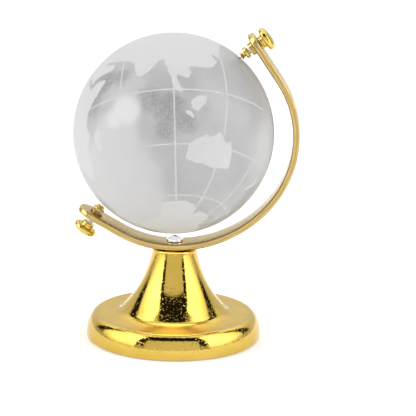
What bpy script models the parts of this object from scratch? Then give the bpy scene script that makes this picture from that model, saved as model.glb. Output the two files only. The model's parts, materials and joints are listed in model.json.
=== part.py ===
"""Desktop globe on a stand: a glass ball held between two thumb screws in a bent strip.

The part's origin is the centre of the flat underside of the foot, with +Z up.  The strip
that carries the ball lies in the XZ plane.  Every length below is in metres.
"""
import math

import bmesh
import bpy
from mathutils import Matrix, Vector

MM = 0.001

# Fits between neighbouring pieces
SEAT_GAP = 0.05 * MM
THREAD_CLEARANCE = 0.05 * MM
HOLE_CLEARANCE = 0.10 * MM

# Glass ball
BALL_RADIUS = 20.0 * MM
BALL_CENTRE = Vector((-0.55 * MM, 0.0, 41.84 * MM))
SPIN_AXIS_ANGLE = math.radians(48.45)
DIMPLE_RADIUS = 1.25 * MM
DIMPLE_DEPTH = 0.25 * MM
DIMPLE_RINGS = (0.35, 0.7)

# Bent strip: an oval sprung open along its long axis, with straight ends
STRIP_CENTRE = Vector((1.03 * MM, 0.0, 40.57 * MM))
STRIP_MEAN_RADIUS = 21.47 * MM
STRIP_SPRING = 0.92 * MM
STRIP_SPRING_ANGLE = math.radians(21.1)
STRIP_BEND_START = math.radians(-123.0)
STRIP_BEND_END = math.radians(33.0)
STRIP_LOWER_STRAIGHT = 9.4 * MM
STRIP_UPPER_STRAIGHT = 10.9 * MM
STRIP_WIDTH = 6.4 * MM
STRIP_THICKNESS = 1.3 * MM
STRIP_EDGE_RADIUS = 0.35 * MM

# Foot
FOOT_RADIUS = 17.7 * MM
FOOT_EDGE_RADIUS = 0.25 * MM
FOOT_LIFT = 0.2 * MM
SHOULDER_START_HEIGHT = 1.05 * MM
SHOULDER_RADIUS = 15.56 * MM
SHOULDER_HEIGHT = 5.02 * MM
FLARE_NECK_PULL = Vector((1.57 * MM, -7.6 * MM))
FLARE_FOOT = Vector((10.6 * MM, 5.95 * MM))
FLARE_FOOT_PULL = Vector((-1.23 * MM, 1.32 * MM))
HOLLOW_START_PULL = Vector((0.51 * MM, -0.55 * MM))
HOLLOW_END = Vector((12.5 * MM, 5.08 * MM))
HOLLOW_END_PULL = Vector((-0.8 * MM, 0.08 * MM))
LEDGE_START_PULL = Vector((1.0 * MM, -0.1 * MM))
LEDGE_END_PULL = Vector((-1.2 * MM, -0.12 * MM))
NECK_RADIUS = 4.42 * MM
NECK_RIM_RADIUS = 0.45 * MM
WELL_RADIUS = 3.2 * MM
WELL_TOP = 14.0 * MM
PAD_RADIUS = 15.8 * MM
PAD_THICKNESS = 1.2 * MM
PAD_CHAMFER = 0.15 * MM

# Centre screw that clamps the strip on the neck
SCREW_RADIUS = 1.0 * MM
SCREW_HEAD_RADIUS = 1.7 * MM
SCREW_HEAD_HEIGHT = 1.1 * MM
SCREW_HEAD_SKIRT = 0.3 * MM
SCREW_HEAD_CLEARANCE = 0.1 * MM
SCREW_CHAMFER = 0.2 * MM
WASHER_RADIUS = 2.5 * MM
WASHER_THICKNESS = 0.3 * MM
NUT_ACROSS_FLATS = 4.0 * MM
NUT_THICKNESS = 1.6 * MM
SCREW_END_BELOW_NUT = 0.6 * MM

# Thumb screws and the pieces on them
STUD_RADIUS = 0.75 * MM
STUD_CHAMFER = 0.12 * MM
BUSH_BARREL_RADIUS = 1.1 * MM
BUSH_FLANGE_RADIUS = 1.4 * MM
BUSH_CHAMFER = 0.08 * MM
KNOB_RADIUS = 2.43 * MM
KNOB_THICKNESS = 1.6 * MM
KNOB_RIM_RADIUS = 0.5 * MM
KNOB_RIM_END = 30.0
KNOB_DOME_START = 15.0
BOSS_RADIUS = 1.35 * MM
BOSS_LENGTH = 0.85 * MM
BOSS_CHAMFER = 0.1 * MM
CAP_FACE_RADIUS = 0.85 * MM
CAP_CUP_DEPTH = 0.12 * MM
CAP_LIP = 0.08 * MM
CAP_NECK_RADIUS = 0.5 * MM
CAP_WAIST_PLACE = 0.55
COLLAR_RADIUS = 1.22 * MM
COLLAR_CHAMFER = 0.12 * MM
PIN_RADIUS = 0.25 * MM
PIN_REACH = 0.1 * MM

# What differs between the two thumb screws.  contact: where the pin meets the ball, as an
# angle about the ball's centre.  axis: direction of the screw, outward.  face: gap from the
# ball to the cap's cupped face.  neck, collar: lengths along the cap.  boss: from the
# strip's middle to the knob's boss.  bush: from the strip's face to the bush's flange.
# flange: thickness of that flange.
THUMB_SCREWS = {
    "upper": {
        "contact": math.radians(50.6),
        "axis": math.radians(36.5),
        "face": 0.49 * MM,
        "neck": 0.90 * MM,
        "collar": 0.75 * MM,
        "boss": 0.85 * MM,
        "bush": 0.10 * MM,
        "flange": 0.80 * MM,
    },
    "lower": {
        "contact": math.radians(226.3),
        "axis": math.radians(235.0),
        "face": 1.10 * MM,
        "neck": 0.45 * MM,
        "collar": 0.40 * MM,
        "boss": 1.95 * MM,
        "bush": 0.20 * MM,
        "flange": 0.30 * MM,
    },
}

# Smoothness
FINE_SEGMENTS = 48
SMALL_SEGMENTS = 20
STRIP_STATIONS = 40
STRIP_END_STEPS = 6
NUT_STEPS = 24
SEARCH_STEPS = 400


def clear_scene():
    for item in list(bpy.data.objects):
        bpy.data.objects.remove(item, do_unlink=True)


def material(name, colour, roughness, metallic):
    made = bpy.data.materials.new(name)
    made.use_nodes = True
    shader = made.node_tree.nodes["Principled BSDF"]
    shader.inputs["Base Color"].default_value = (*colour, 1.0)
    shader.inputs["Roughness"].default_value = roughness
    shader.inputs["Metallic"].default_value = metallic
    return made


def metal(name, colour, roughness):
    return material(name, colour, roughness, 1.0)


def polished_gold(name):
    return metal(name, (0.86, 0.63, 0.14), 0.14)


def satin_brass(name):
    return metal(name, (0.78, 0.60, 0.30), 0.3)


def bright_steel(name):
    return metal(name, (0.72, 0.72, 0.73), 0.2)


def clear_glass(name):
    made = material(name, (0.88, 0.89, 0.90), 0.25, 0.0)
    made.node_tree.nodes["Principled BSDF"].inputs["Transmission Weight"].default_value = 0.8
    return made


def grey_foam(name):
    return material(name, (0.05, 0.05, 0.055), 0.9, 0.0)


def add_object(name, mesh, surface, parent=None):
    """Put a mesh in the scene; its coordinates are those of its parent."""
    item = bpy.data.objects.new(name, mesh)
    bpy.context.scene.collection.objects.link(item)
    item.data.materials.append(surface)
    item.parent = parent
    mesh.shade_smooth()
    mesh.set_sharp_from_angle(angle=math.radians(35.0))
    return item


def add_empty(name, location, direction=Vector((0.0, 0.0, 1.0)), parent=None):
    """An empty on a joint, its local Z along direction, both given in world coordinates."""
    empty = bpy.data.objects.new(name, None)
    bpy.context.scene.collection.objects.link(empty)
    turn = Vector((0.0, 0.0, 1.0)).rotation_difference(direction).to_matrix().to_4x4()
    world = Matrix.Translation(location) @ turn
    empty.parent = parent
    empty.matrix_basis = world if parent is None else parent.matrix_world.inverted() @ world
    bpy.context.view_layer.update()
    return empty


def mesh_from(name, form):
    """Close up a bmesh: join coincident points, turn its faces outward, make the mesh."""
    bmesh.ops.remove_doubles(form, verts=form.verts, dist=0.001 * MM)
    bmesh.ops.recalc_face_normals(form, faces=form.faces)
    mesh = bpy.data.meshes.new(name)
    form.to_mesh(mesh)
    form.free()
    return mesh


def turned_mesh(name, outline, segments, closed=False):
    """Spin an outline of (radius, height) points about Z.

    An open outline starts and ends on the axis.  A closed one leaves a bore through.
    """
    form = bmesh.new()
    points = [form.verts.new((radius, 0.0, height)) for radius, height in outline]
    pairs = list(zip(points, points[1:]))
    if closed:
        pairs.append((points[-1], points[0]))
    edges = [form.edges.new(pair) for pair in pairs]
    bmesh.ops.spin(
        form,
        geom=points + edges,
        cent=(0.0, 0.0, 0.0),
        axis=(0.0, 0.0, 1.0),
        angle=2.0 * math.pi,
        steps=segments,
        use_merge=True,
    )
    return mesh_from(name, form)


def arc_points(centre, radii, start, end, steps):
    """Points of an elliptical arc in a (radius, height) outline, angles in degrees."""
    made = []
    for step in range(steps + 1):
        angle = math.radians(start + (end - start) * step / steps)
        made.append((centre[0] + radii[0] * math.cos(angle), centre[1] + radii[1] * math.sin(angle)))
    return made


def bezier_points(start, pull_start, pull_end, end, steps):
    """Points of a cubic curve, without its first one."""
    made = []
    for step in range(1, steps + 1):
        t = step / steps
        point = start * (1.0 - t) ** 3
        point += (start + pull_start) * (3.0 * t * (1.0 - t) ** 2)
        point += (end + pull_end) * (3.0 * t * t * (1.0 - t))
        point += end * t ** 3
        made.append((point.x, point.y))
    return made


# ---------------------------------------------------------------- bent strip

def bend_radius(angle):
    return STRIP_MEAN_RADIUS + STRIP_SPRING * math.cos(2.0 * (angle - STRIP_SPRING_ANGLE))


def bend_point(angle):
    """A point of the strip's inner face on the bend, and the direction it runs in."""
    radius = bend_radius(angle)
    slope = -2.0 * STRIP_SPRING * math.sin(2.0 * (angle - STRIP_SPRING_ANGLE))
    outward = Vector((math.cos(angle), 0.0, math.sin(angle)))
    along = Vector((-math.sin(angle), 0.0, math.cos(angle)))
    return STRIP_CENTRE + outward * radius, (along * radius + outward * slope).normalized()


def straight_point(stretch, distance):
    """A point on a straight end, at a distance past the bend, and the direction it runs in."""
    if stretch == "lower":
        point, along = bend_point(STRIP_BEND_START)
        return point - along * distance, along
    point, along = bend_point(STRIP_BEND_END)
    return point + along * distance, along


def square_to(along):
    """The strip's outward normal, square to the direction it runs in."""
    return Vector((along.z, 0.0, -along.x))


def end_rows(stretch, length):
    """Rows of a straight end, from its round tip to the bend."""
    end_radius = STRIP_WIDTH / 2.0
    rows = []
    for step in range(STRIP_END_STEPS):
        angle = math.pi / 2.0 * step / STRIP_END_STEPS
        rows.append((stretch, length - end_radius, math.cos(angle), math.sin(angle)))
    rows.append((stretch, length - end_radius, 0.0, 1.0))
    rows.append((stretch, (length - end_radius) / 2.0, 0.0, 1.0))
    return rows


def strip_rows():
    """Rows across the strip from end to end, as (stretch, place, reach, share).

    On the bend, place is an angle.  On a straight end it is the distance past the bend.
    The round tips are made by reach, how much further out a row is, and share, its half
    width, both as parts of the strip's half width, so that an inset outline stays round.
    """
    rows = end_rows("lower", STRIP_LOWER_STRAIGHT)
    for step in range(STRIP_STATIONS + 1):
        angle = STRIP_BEND_START + (STRIP_BEND_END - STRIP_BEND_START) * step / STRIP_STATIONS
        rows.append(("bend", angle, 0.0, 1.0))
    return rows + end_rows("upper", STRIP_UPPER_STRAIGHT)[::-1]


def row_frame(row, half_width):
    """World point on the inner face's middle line, direction, and half width of one row."""
    stretch, place, reach, share = row
    if stretch == "bend":
        point, along = bend_point(place)
    else:
        point, along = straight_point(stretch, place + reach * half_width)
    return point, along, share * half_width


def strip_layers():
    """(Depth below the inner face, inset of the outline) through the strip's thickness."""
    layers = []
    for degrees in (90.0, 45.0, 0.0):
        lift = STRIP_EDGE_RADIUS * (1.0 - math.sin(math.radians(degrees)))
        inset = STRIP_EDGE_RADIUS * (1.0 - math.cos(math.radians(degrees)))
        layers.append((lift, inset))
    return layers + [(STRIP_THICKNESS - lift, inset) for lift, inset in reversed(layers)]


def strip_mesh():
    form = bmesh.new()
    loops = []
    for depth, inset in strip_layers():
        left = []
        right = []
        for row in strip_rows():
            point, along, half = row_frame(row, STRIP_WIDTH / 2.0 - inset)
            place = point + square_to(along) * depth
            left.append(form.verts.new(place + Vector((0.0, -half, 0.0))))
            right.append(form.verts.new(place + Vector((0.0, half, 0.0))))
        loops.append((left, right))
    for (left_a, right_a), (left_b, right_b) in zip(loops, loops[1:]):
        for side_a, side_b in ((left_a, left_b), (right_b, right_a)):
            for k in range(len(side_a) - 1):
                form.faces.new((side_a[k], side_a[k + 1], side_b[k + 1], side_b[k]))
    for left, right in (loops[0], loops[-1]):
        for k in range(len(left) - 1):
            form.faces.new((left[k], right[k], right[k + 1], left[k + 1]))
    return mesh_from("meridian_arc", form)


def strip_lowest_height():
    """Height of the lowest point of the strip's outer face."""
    heights = []
    for step in range(SEARCH_STEPS + 1):
        angle = STRIP_BEND_START + (STRIP_BEND_END - STRIP_BEND_START) * step / SEARCH_STEPS
        point, along = bend_point(angle)
        heights.append((point + square_to(along) * STRIP_THICKNESS).z)
    return min(heights)


def strip_height_on_foot_axis():
    """Height of the strip's inner face over the foot's axis."""
    low = STRIP_BEND_START
    high = STRIP_BEND_END
    while high - low > 1e-9:
        middle = (low + high) / 2.0
        if bend_point(middle)[0].x < 0.0:
            low = middle
        else:
            high = middle
    return bend_point(low)[0].z


NECK_TOP = strip_lowest_height() - SEAT_GAP
STRIP_INNER_TOP = strip_height_on_foot_axis()


def cutter(name, radius, centre, direction):
    """A hidden cylinder that a Boolean takes out of the strip."""
    reach = 2.0 * STRIP_THICKNESS
    outline = [(0.0, -reach), (radius, -reach), (radius, reach), (0.0, reach)]
    tool = bpy.data.objects.new(name, turned_mesh(name, outline, SMALL_SEGMENTS))
    bpy.context.scene.collection.objects.link(tool)
    turn = Vector((0.0, 0.0, 1.0)).rotation_difference(direction).to_matrix().to_4x4()
    tool.matrix_world = Matrix.Translation(centre) @ turn
    tool.hide_render = True
    tool.display_type = "WIRE"
    return tool


def cut(item, tool):
    step = item.modifiers.new(tool.name, "BOOLEAN")
    step.operation = "DIFFERENCE"
    step.solver = "EXACT"
    step.object = tool


# ---------------------------------------------------------------- thumb screws

def in_strip_plane(angle):
    return Vector((math.cos(angle), 0.0, math.sin(angle)))


def screw_line(side):
    """The contact point on the ball, the outward direction, and how far out the middle of
    the strip's thickness is along that line."""
    layout = THUMB_SCREWS[side]
    contact = BALL_CENTRE + in_strip_plane(layout["contact"]) * BALL_RADIUS
    direction = in_strip_plane(layout["axis"])
    edge = STRIP_BEND_END if side == "upper" else STRIP_BEND_START
    point, along = bend_point(edge)
    normal = square_to(along)
    distance = (point + normal * STRIP_THICKNESS / 2.0 - contact).dot(normal) / direction.dot(normal)
    return contact, direction, distance


def pin_outline(side):
    layout = THUMB_SCREWS[side]
    back = layout["face"] + layout["neck"]
    nose = arc_points((0.0, PIN_RADIUS - PIN_REACH), (PIN_RADIUS, PIN_RADIUS), -90, 0, 4)
    nose[0] = (0.0, -PIN_REACH)
    return nose + [(PIN_RADIUS, back), (0.0, back)]


def cap_outline(side):
    """Flared, cupped nose with a bore for the pin, a narrow neck, and a collar behind with
    a socket for the stud.  A closed outline."""
    layout = THUMB_SCREWS[side]
    face = layout["face"]
    waist = face + CAP_WAIST_PLACE * layout["neck"]
    collar = face + layout["neck"]
    back = collar + layout["collar"]
    bore = PIN_RADIUS + SEAT_GAP
    socket = STUD_RADIUS + THREAD_CLEARANCE
    socket_floor = collar + 2.0 * SEAT_GAP
    return [
        (bore, face + CAP_CUP_DEPTH),
        (CAP_FACE_RADIUS - CAP_LIP, face),
        (CAP_FACE_RADIUS, face + CAP_LIP),
        (CAP_NECK_RADIUS + CAP_LIP, waist - CAP_LIP),
        (CAP_NECK_RADIUS, waist),
        (CAP_NECK_RADIUS + CAP_LIP, collar),
        (COLLAR_RADIUS - COLLAR_CHAMFER, collar),
        (COLLAR_RADIUS, collar + COLLAR_CHAMFER),
        (COLLAR_RADIUS, back - COLLAR_CHAMFER),
        (COLLAR_RADIUS - COLLAR_CHAMFER, back),
        (socket, back),
        (socket, socket_floor),
        (bore, socket_floor),
    ]


def bush_outline(side, strip_middle):
    """Threaded bush: a barrel through the strip and a flange against its inner face."""
    layout = THUMB_SCREWS[side]
    flange_back = strip_middle - STRIP_THICKNESS / 2.0 - layout["bush"]
    flange_front = flange_back - layout["flange"]
    barrel_end = strip_middle + STRIP_THICKNESS / 2.0
    bore = STUD_RADIUS + THREAD_CLEARANCE
    return [
        (bore, flange_front),
        (BUSH_FLANGE_RADIUS - BUSH_CHAMFER, flange_front),
        (BUSH_FLANGE_RADIUS, flange_front + BUSH_CHAMFER),
        (BUSH_FLANGE_RADIUS, flange_back),
        (BUSH_BARREL_RADIUS, flange_back),
        (BUSH_BARREL_RADIUS, barrel_end),
        (bore, barrel_end),
    ]


def stud_outline(side, strip_middle):
    layout = THUMB_SCREWS[side]
    start = layout["face"] + layout["neck"] + 3.0 * SEAT_GAP
    end = strip_middle + layout["boss"] + BOSS_LENGTH + KNOB_RIM_RADIUS
    return [
        (0.0, start),
        (STUD_RADIUS - STUD_CHAMFER, start),
        (STUD_RADIUS, start + STUD_CHAMFER),
        (STUD_RADIUS, end - STUD_CHAMFER),
        (STUD_RADIUS - STUD_CHAMFER, end),
        (0.0, end),
    ]


def knob_outline(side, strip_middle):
    """Domed disc with a round rim, a boss towards the strip, and a blind bore."""
    start = strip_middle + THUMB_SCREWS[side]["boss"]
    disc = start + BOSS_LENGTH
    bore = STUD_RADIUS + THREAD_CLEARANCE
    bore_end = disc + KNOB_RIM_RADIUS + 2.0 * SEAT_GAP
    outline = [
        (0.0, bore_end),
        (bore, bore_end),
        (bore, start),
        (BOSS_RADIUS - BOSS_CHAMFER, start),
        (BOSS_RADIUS, start + BOSS_CHAMFER),
        (BOSS_RADIUS, disc),
    ]
    rim_centre = (KNOB_RADIUS - KNOB_RIM_RADIUS, disc + KNOB_RIM_RADIUS)
    outline += arc_points(rim_centre, (KNOB_RIM_RADIUS, KNOB_RIM_RADIUS), -90, KNOB_RIM_END, 6)
    dome_edge, dome_foot = outline[-1]
    dome_height = disc + KNOB_THICKNESS - dome_foot
    outline += arc_points((0.0, dome_foot), (dome_edge, dome_height), KNOB_DOME_START, 90, 6)
    outline[-1] = (0.0, disc + KNOB_THICKNESS)
    return outline


def make_thumb_screw(side, arc_pivot):
    contact, direction, strip_middle = screw_line(side)
    axis = add_empty(side + "_screw_axis", contact, direction, arc_pivot)
    pieces = (
        ("pivot_pin", pin_outline(side), bright_steel, False),
        ("pivot_cap", cap_outline(side), polished_gold, True),
        ("threaded_bush", bush_outline(side, strip_middle), satin_brass, True),
        ("threaded_stud", stud_outline(side, strip_middle), bright_steel, False),
        ("thumb_knob", knob_outline(side, strip_middle), polished_gold, False),
    )
    for piece, outline, surface, bored in pieces:
        name = side + "_" + piece
        mesh = turned_mesh(name, outline, SMALL_SEGMENTS, closed=bored)
        add_object(name, mesh, surface(name + "_surface"), axis)


# ---------------------------------------------------------------- ball

def globe_outline():
    """Half outline of the ball about its spin axis, with a shallow dimple at each pole."""
    mouth = math.degrees(math.asin(DIMPLE_RADIUS / BALL_RADIUS))
    mouth_height = BALL_RADIUS * math.cos(math.radians(mouth))
    floor = BALL_RADIUS - DIMPLE_DEPTH
    half = [(0.0, floor)]
    for part in DIMPLE_RINGS:
        half.append((DIMPLE_RADIUS * part, floor + (mouth_height - floor) * part * part))
    upper = half + arc_points((0.0, 0.0), (BALL_RADIUS, BALL_RADIUS), 90.0 - mouth, 0.0, 11)
    lower = [(radius, -height) for radius, height in reversed(upper[:-1])]
    return upper + lower


def make_globe(arc_pivot):
    pivot = add_empty("globe_pivot", BALL_CENTRE, in_strip_plane(SPIN_AXIS_ANGLE), arc_pivot)
    mesh = turned_mesh("glass_globe", globe_outline(), FINE_SEGMENTS)
    add_object("glass_globe", mesh, clear_glass("glass_globe_surface"), pivot)


# ---------------------------------------------------------------- strip and its screw

def make_strip(arc_pivot):
    surface = satin_brass("meridian_arc_surface")
    item = add_object("meridian_arc", strip_mesh(), surface, arc_pivot)
    item.matrix_basis = arc_pivot.matrix_world.inverted()
    over_neck = Vector((0.0, 0.0, STRIP_INNER_TOP))
    upright = Vector((0.0, 0.0, 1.0))
    cut(item, cutter("centre_hole", SCREW_RADIUS + HOLE_CLEARANCE, over_neck, upright))
    for side in THUMB_SCREWS:
        contact, direction, strip_middle = screw_line(side)
        centre = contact + direction * strip_middle
        radius = BUSH_BARREL_RADIUS + 2.0 * HOLE_CLEARANCE
        cut(item, cutter(side + "_hole", radius, centre, direction))


def screw_outline():
    head = STRIP_INNER_TOP + SCREW_HEAD_CLEARANCE
    end = WELL_TOP - 2.0 * SEAT_GAP - WASHER_THICKNESS - NUT_THICKNESS - SCREW_END_BELOW_NUT
    outline = [
        (0.0, end),
        (SCREW_RADIUS - SCREW_CHAMFER, end),
        (SCREW_RADIUS, end + SCREW_CHAMFER),
        (SCREW_RADIUS, head),
        (SCREW_HEAD_RADIUS, head),
    ]
    dome = (SCREW_HEAD_RADIUS, SCREW_HEAD_HEIGHT - SCREW_HEAD_SKIRT)
    outline += arc_points((0.0, head + SCREW_HEAD_SKIRT), dome, 0, 90, 7)
    outline[-1] = (0.0, head + SCREW_HEAD_HEIGHT)
    return outline


def make_centre_screw():
    mesh = turned_mesh("arc_screw", screw_outline(), SMALL_SEGMENTS)
    add_object("arc_screw", mesh, bright_steel("arc_screw_surface"))


def make_washer():
    top = WELL_TOP - SEAT_GAP
    bore = SCREW_RADIUS + HOLE_CLEARANCE
    outline = [
        (bore, top - WASHER_THICKNESS),
        (WASHER_RADIUS, top - WASHER_THICKNESS),
        (WASHER_RADIUS, top),
        (bore, top),
    ]
    mesh = turned_mesh("arc_washer", outline, SMALL_SEGMENTS, closed=True)
    add_object("arc_washer", mesh, bright_steel("arc_washer_surface"))


def hexagon_reach(angle):
    """Distance from the nut's axis to its flats in a direction."""
    from_flat = (angle + math.pi / 6.0) % (math.pi / 3.0) - math.pi / 6.0
    return NUT_ACROSS_FLATS / 2.0 / math.cos(from_flat)


def make_nut():
    """Hexagon nut with a plain bore: four rings of points, joined in a closed band."""
    top = WELL_TOP - 2.0 * SEAT_GAP - WASHER_THICKNESS
    bottom = top - NUT_THICKNESS
    form = bmesh.new()
    rings = []
    for height, outside in ((bottom, False), (bottom, True), (top, True), (top, False)):
        ring = []
        for step in range(NUT_STEPS):
            angle = 2.0 * math.pi * step / NUT_STEPS
            reach = hexagon_reach(angle) if outside else SCREW_RADIUS + THREAD_CLEARANCE
            ring.append(form.verts.new((reach * math.cos(angle), reach * math.sin(angle), height)))
        rings.append(ring)
    for ring_a, ring_b in zip(rings, rings[1:] + rings[:1]):
        for k in range(NUT_STEPS):
            after = (k + 1) % NUT_STEPS
            form.faces.new((ring_a[k], ring_a[after], ring_b[after], ring_b[k]))
    add_object("arc_nut", mesh_from("arc_nut", form), bright_steel("arc_nut_surface"))


# ---------------------------------------------------------------- foot

def foot_outline():
    """Closed outline of the casting: up the screw hole, over the neck's rim, down the flare,
    through the hollow at its foot, along the ledge, over the shoulder, round the edge, and
    up the pad pocket and the well."""
    hole = SCREW_RADIUS + HOLE_CLEARANCE
    pocket_top = PAD_THICKNESS + SEAT_GAP
    pocket = PAD_RADIUS + 2.0 * HOLE_CLEARANCE
    edge = FOOT_EDGE_RADIUS
    rim_centre = (NECK_RADIUS - NECK_RIM_RADIUS, NECK_TOP - NECK_RIM_RADIUS)
    outline = [(hole, WELL_TOP), (hole, NECK_TOP)]
    outline += arc_points(rim_centre, (NECK_RIM_RADIUS, NECK_RIM_RADIUS), 90, 0, 5)
    start = Vector(outline[-1])
    end = Vector((SHOULDER_RADIUS, SHOULDER_HEIGHT))
    outline += bezier_points(start, FLARE_NECK_PULL, FLARE_FOOT_PULL, FLARE_FOOT, 10)
    outline += bezier_points(FLARE_FOOT, HOLLOW_START_PULL, HOLLOW_END_PULL, HOLLOW_END, 4)
    outline += bezier_points(HOLLOW_END, LEDGE_START_PULL, LEDGE_END_PULL, end, 3)
    shoulder_centre = (SHOULDER_RADIUS, SHOULDER_START_HEIGHT)
    shoulder = (FOOT_RADIUS - SHOULDER_RADIUS, SHOULDER_HEIGHT - SHOULDER_START_HEIGHT)
    outline += arc_points(shoulder_centre, shoulder, 90, 0, 7)[1:]
    outline += arc_points((FOOT_RADIUS - edge, FOOT_LIFT + edge), (edge, edge), 0, -90, 3)
    outline += [
        (pocket, FOOT_LIFT),
        (pocket, pocket_top),
        (WELL_RADIUS, pocket_top),
        (WELL_RADIUS, WELL_TOP),
    ]
    return outline


def make_foot():
    mesh = turned_mesh("base_casting", foot_outline(), FINE_SEGMENTS, closed=True)
    add_object("base_casting", mesh, polished_gold("base_casting_surface"))


def make_pad():
    outline = [
        (0.0, 0.0),
        (PAD_RADIUS - PAD_CHAMFER, 0.0),
        (PAD_RADIUS, PAD_CHAMFER),
        (PAD_RADIUS, PAD_THICKNESS),
        (0.0, PAD_THICKNESS),
    ]
    mesh = turned_mesh("base_pad", outline, FINE_SEGMENTS)
    add_object("base_pad", mesh, grey_foam("base_pad_surface"))


def main():
    clear_scene()
    make_foot()
    make_pad()
    make_centre_screw()
    make_washer()
    make_nut()
    arc_pivot = add_empty("arc_pivot", Vector((0.0, 0.0, NECK_TOP)))
    make_strip(arc_pivot)
    for side in THUMB_SCREWS:
        make_thumb_screw(side, arc_pivot)
    make_globe(arc_pivot)
    bpy.context.view_layer.update()


main()
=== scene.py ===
"""Looks of the desktop globe on a stand: a frosted glass ball between two thumb screws.

Every piece is built at its real size, in metres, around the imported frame, and rides on the
body that its CAD solid belongs to.  Turned pieces are outlines spun about their own axis.
"""

import json
import math

import bmesh
import bpy
import numpy as np
from mathutils import Matrix, Vector


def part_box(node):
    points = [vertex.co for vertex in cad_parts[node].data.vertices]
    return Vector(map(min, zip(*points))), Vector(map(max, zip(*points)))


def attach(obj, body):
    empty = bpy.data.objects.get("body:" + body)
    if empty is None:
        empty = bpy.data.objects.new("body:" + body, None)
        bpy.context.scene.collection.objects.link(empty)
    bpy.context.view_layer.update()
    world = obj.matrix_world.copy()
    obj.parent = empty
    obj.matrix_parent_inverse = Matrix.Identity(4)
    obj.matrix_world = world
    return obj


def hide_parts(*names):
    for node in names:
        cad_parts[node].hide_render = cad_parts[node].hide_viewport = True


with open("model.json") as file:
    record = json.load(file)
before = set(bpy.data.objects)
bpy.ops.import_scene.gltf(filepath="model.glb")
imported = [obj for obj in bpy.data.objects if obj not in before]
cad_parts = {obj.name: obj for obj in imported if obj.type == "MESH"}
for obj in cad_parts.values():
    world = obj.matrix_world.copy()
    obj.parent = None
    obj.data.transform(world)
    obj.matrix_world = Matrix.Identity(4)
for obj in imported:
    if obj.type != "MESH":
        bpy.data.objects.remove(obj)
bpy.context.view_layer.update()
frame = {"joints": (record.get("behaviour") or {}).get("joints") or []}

MM = 0.001
UP = Vector((0.0, 0.0, 1.0))
RECORD_JOINTS = {joint["name"]: joint for joint in frame["joints"]}

# Fits between neighbouring pieces
SEAT_GAP = 0.05 * MM
HOLE_CLEARANCE = 0.10 * MM
THREAD_PITCH = 0.35 * MM
THREAD_DEPTH = 0.13 * MM

# Meshes
MERGE_DISTANCE = 0.0005 * MM
SHARP_ANGLE = 35.0
THREAD_SHARP_ANGLE = 60.0

# Glass ball
BALL_RADIUS = 20.0 * MM
BALL_CENTRE = Vector(RECORD_JOINTS["globe_spin"]["pos_m"])
SPIN_AXIS = Vector(RECORD_JOINTS["globe_spin"]["axis"]).normalized()
DIMPLE_RADIUS = 1.25 * MM
DIMPLE_DEPTH = 0.25 * MM

# The engraved map's own frame: north leans back from the viewer, not along the spin axis
MAP_NORTH = Vector((-0.087, 0.560, 0.824)).normalized()
MAP_FRONT_LONGITUDE = 95.0
GRATICULE_STEP = 30.0
GRATICULE_FIRST = 7.0
GRATICULE_WIDTH = 0.30 * MM
COAST_REACH = math.cos(math.radians(9.0))

# Uneven haze on the ball, then a painted highlight and painted dark refraction patches on it, as
# (longitude, latitude, inner, outer) spots in degrees
VEIL_SPOTS = (
    (70, -9, 4, 12), (60, -22, 8, 22), (45, -42, 16, 42), (35, -64, 10, 32),
    (172, -15, 4, 36), (265, -25, 5, 40), (240, 45, 5, 30),
)
# Painted highlight: a near-white spot painted into the glass colour
PAINTED_HIGHLIGHT_SPOTS = ((69, -9, 3, 13), (62, -12, 0, 10))
# Painted dark refraction: mid-ocean patches painted darker, with wandering lines
PAINTED_REFRACTION_SPOTS = (
    (84, -5, 3, 11), (94, -11, 5, 13), (103, -17, 2, 11), (91, -22, 0, 11), (54, 13, 3, 13),
    (47, 3, 2, 12), (66, 12, 0, 9), (200, -5, 4, 20), (330, 30, 4, 20),
)


# Bent strip: an oval sprung open along its long axis, with straight ends
STRIP_CENTRE = Vector((1.03 * MM, 0.0, 40.57 * MM))
STRIP_MEAN_RADIUS = 21.47 * MM
STRIP_SPRING = 0.92 * MM
STRIP_SPRING_ANGLE = math.radians(21.1)
STRIP_BEND_START = math.radians(-123.0)
STRIP_BEND_END = math.radians(33.0)
STRIP_LOWER_STRAIGHT = 9.4 * MM
STRIP_UPPER_STRAIGHT = 10.9 * MM
STRIP_WIDTH = 6.4 * MM
STRIP_THICKNESS = 1.3 * MM
STRIP_EDGE_RADIUS = 0.35 * MM

# Foot
FOOT_RADIUS = 17.7 * MM
FOOT_EDGE_RADIUS = 0.25 * MM
FOOT_LIFT = 0.2 * MM
SHOULDER_START_HEIGHT = 1.05 * MM
SHOULDER_RADIUS = 15.56 * MM
SHOULDER_HEIGHT = 5.02 * MM
FLARE_NECK_PULL = Vector((1.57 * MM, -7.6 * MM))
FLARE_FOOT = Vector((10.6 * MM, 5.95 * MM))
FLARE_FOOT_PULL = Vector((-1.23 * MM, 1.32 * MM))
HOLLOW_START_PULL = Vector((0.51 * MM, -0.55 * MM))
HOLLOW_END = Vector((12.5 * MM, 5.08 * MM))
HOLLOW_END_PULL = Vector((-0.8 * MM, 0.08 * MM))
LEDGE_START_PULL = Vector((1.0 * MM, -0.1 * MM))
LEDGE_END_PULL = Vector((-1.2 * MM, -0.12 * MM))
NECK_RADIUS = 4.42 * MM
NECK_RIM_RADIUS = 0.28 * MM
NECK_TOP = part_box("base_casting")[1].z
WELL_RADIUS = 3.2 * MM
WELL_TOP = 14.0 * MM
PAD_RADIUS = 15.8 * MM
PAD_THICKNESS = 1.2 * MM

# Centre screw that clamps the strip on the neck
SCREW_RADIUS = 1.0 * MM
SCREW_HEAD_RADIUS = 1.7 * MM
SCREW_HEAD_HEIGHT = 1.1 * MM
SCREW_HEAD_SKIRT = 0.3 * MM
SCREW_HEAD_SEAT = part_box("arc_screw")[1].z - SCREW_HEAD_HEIGHT
WASHER_RADIUS = 2.5 * MM
NUT_ACROSS_FLATS = 4.0 * MM

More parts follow.
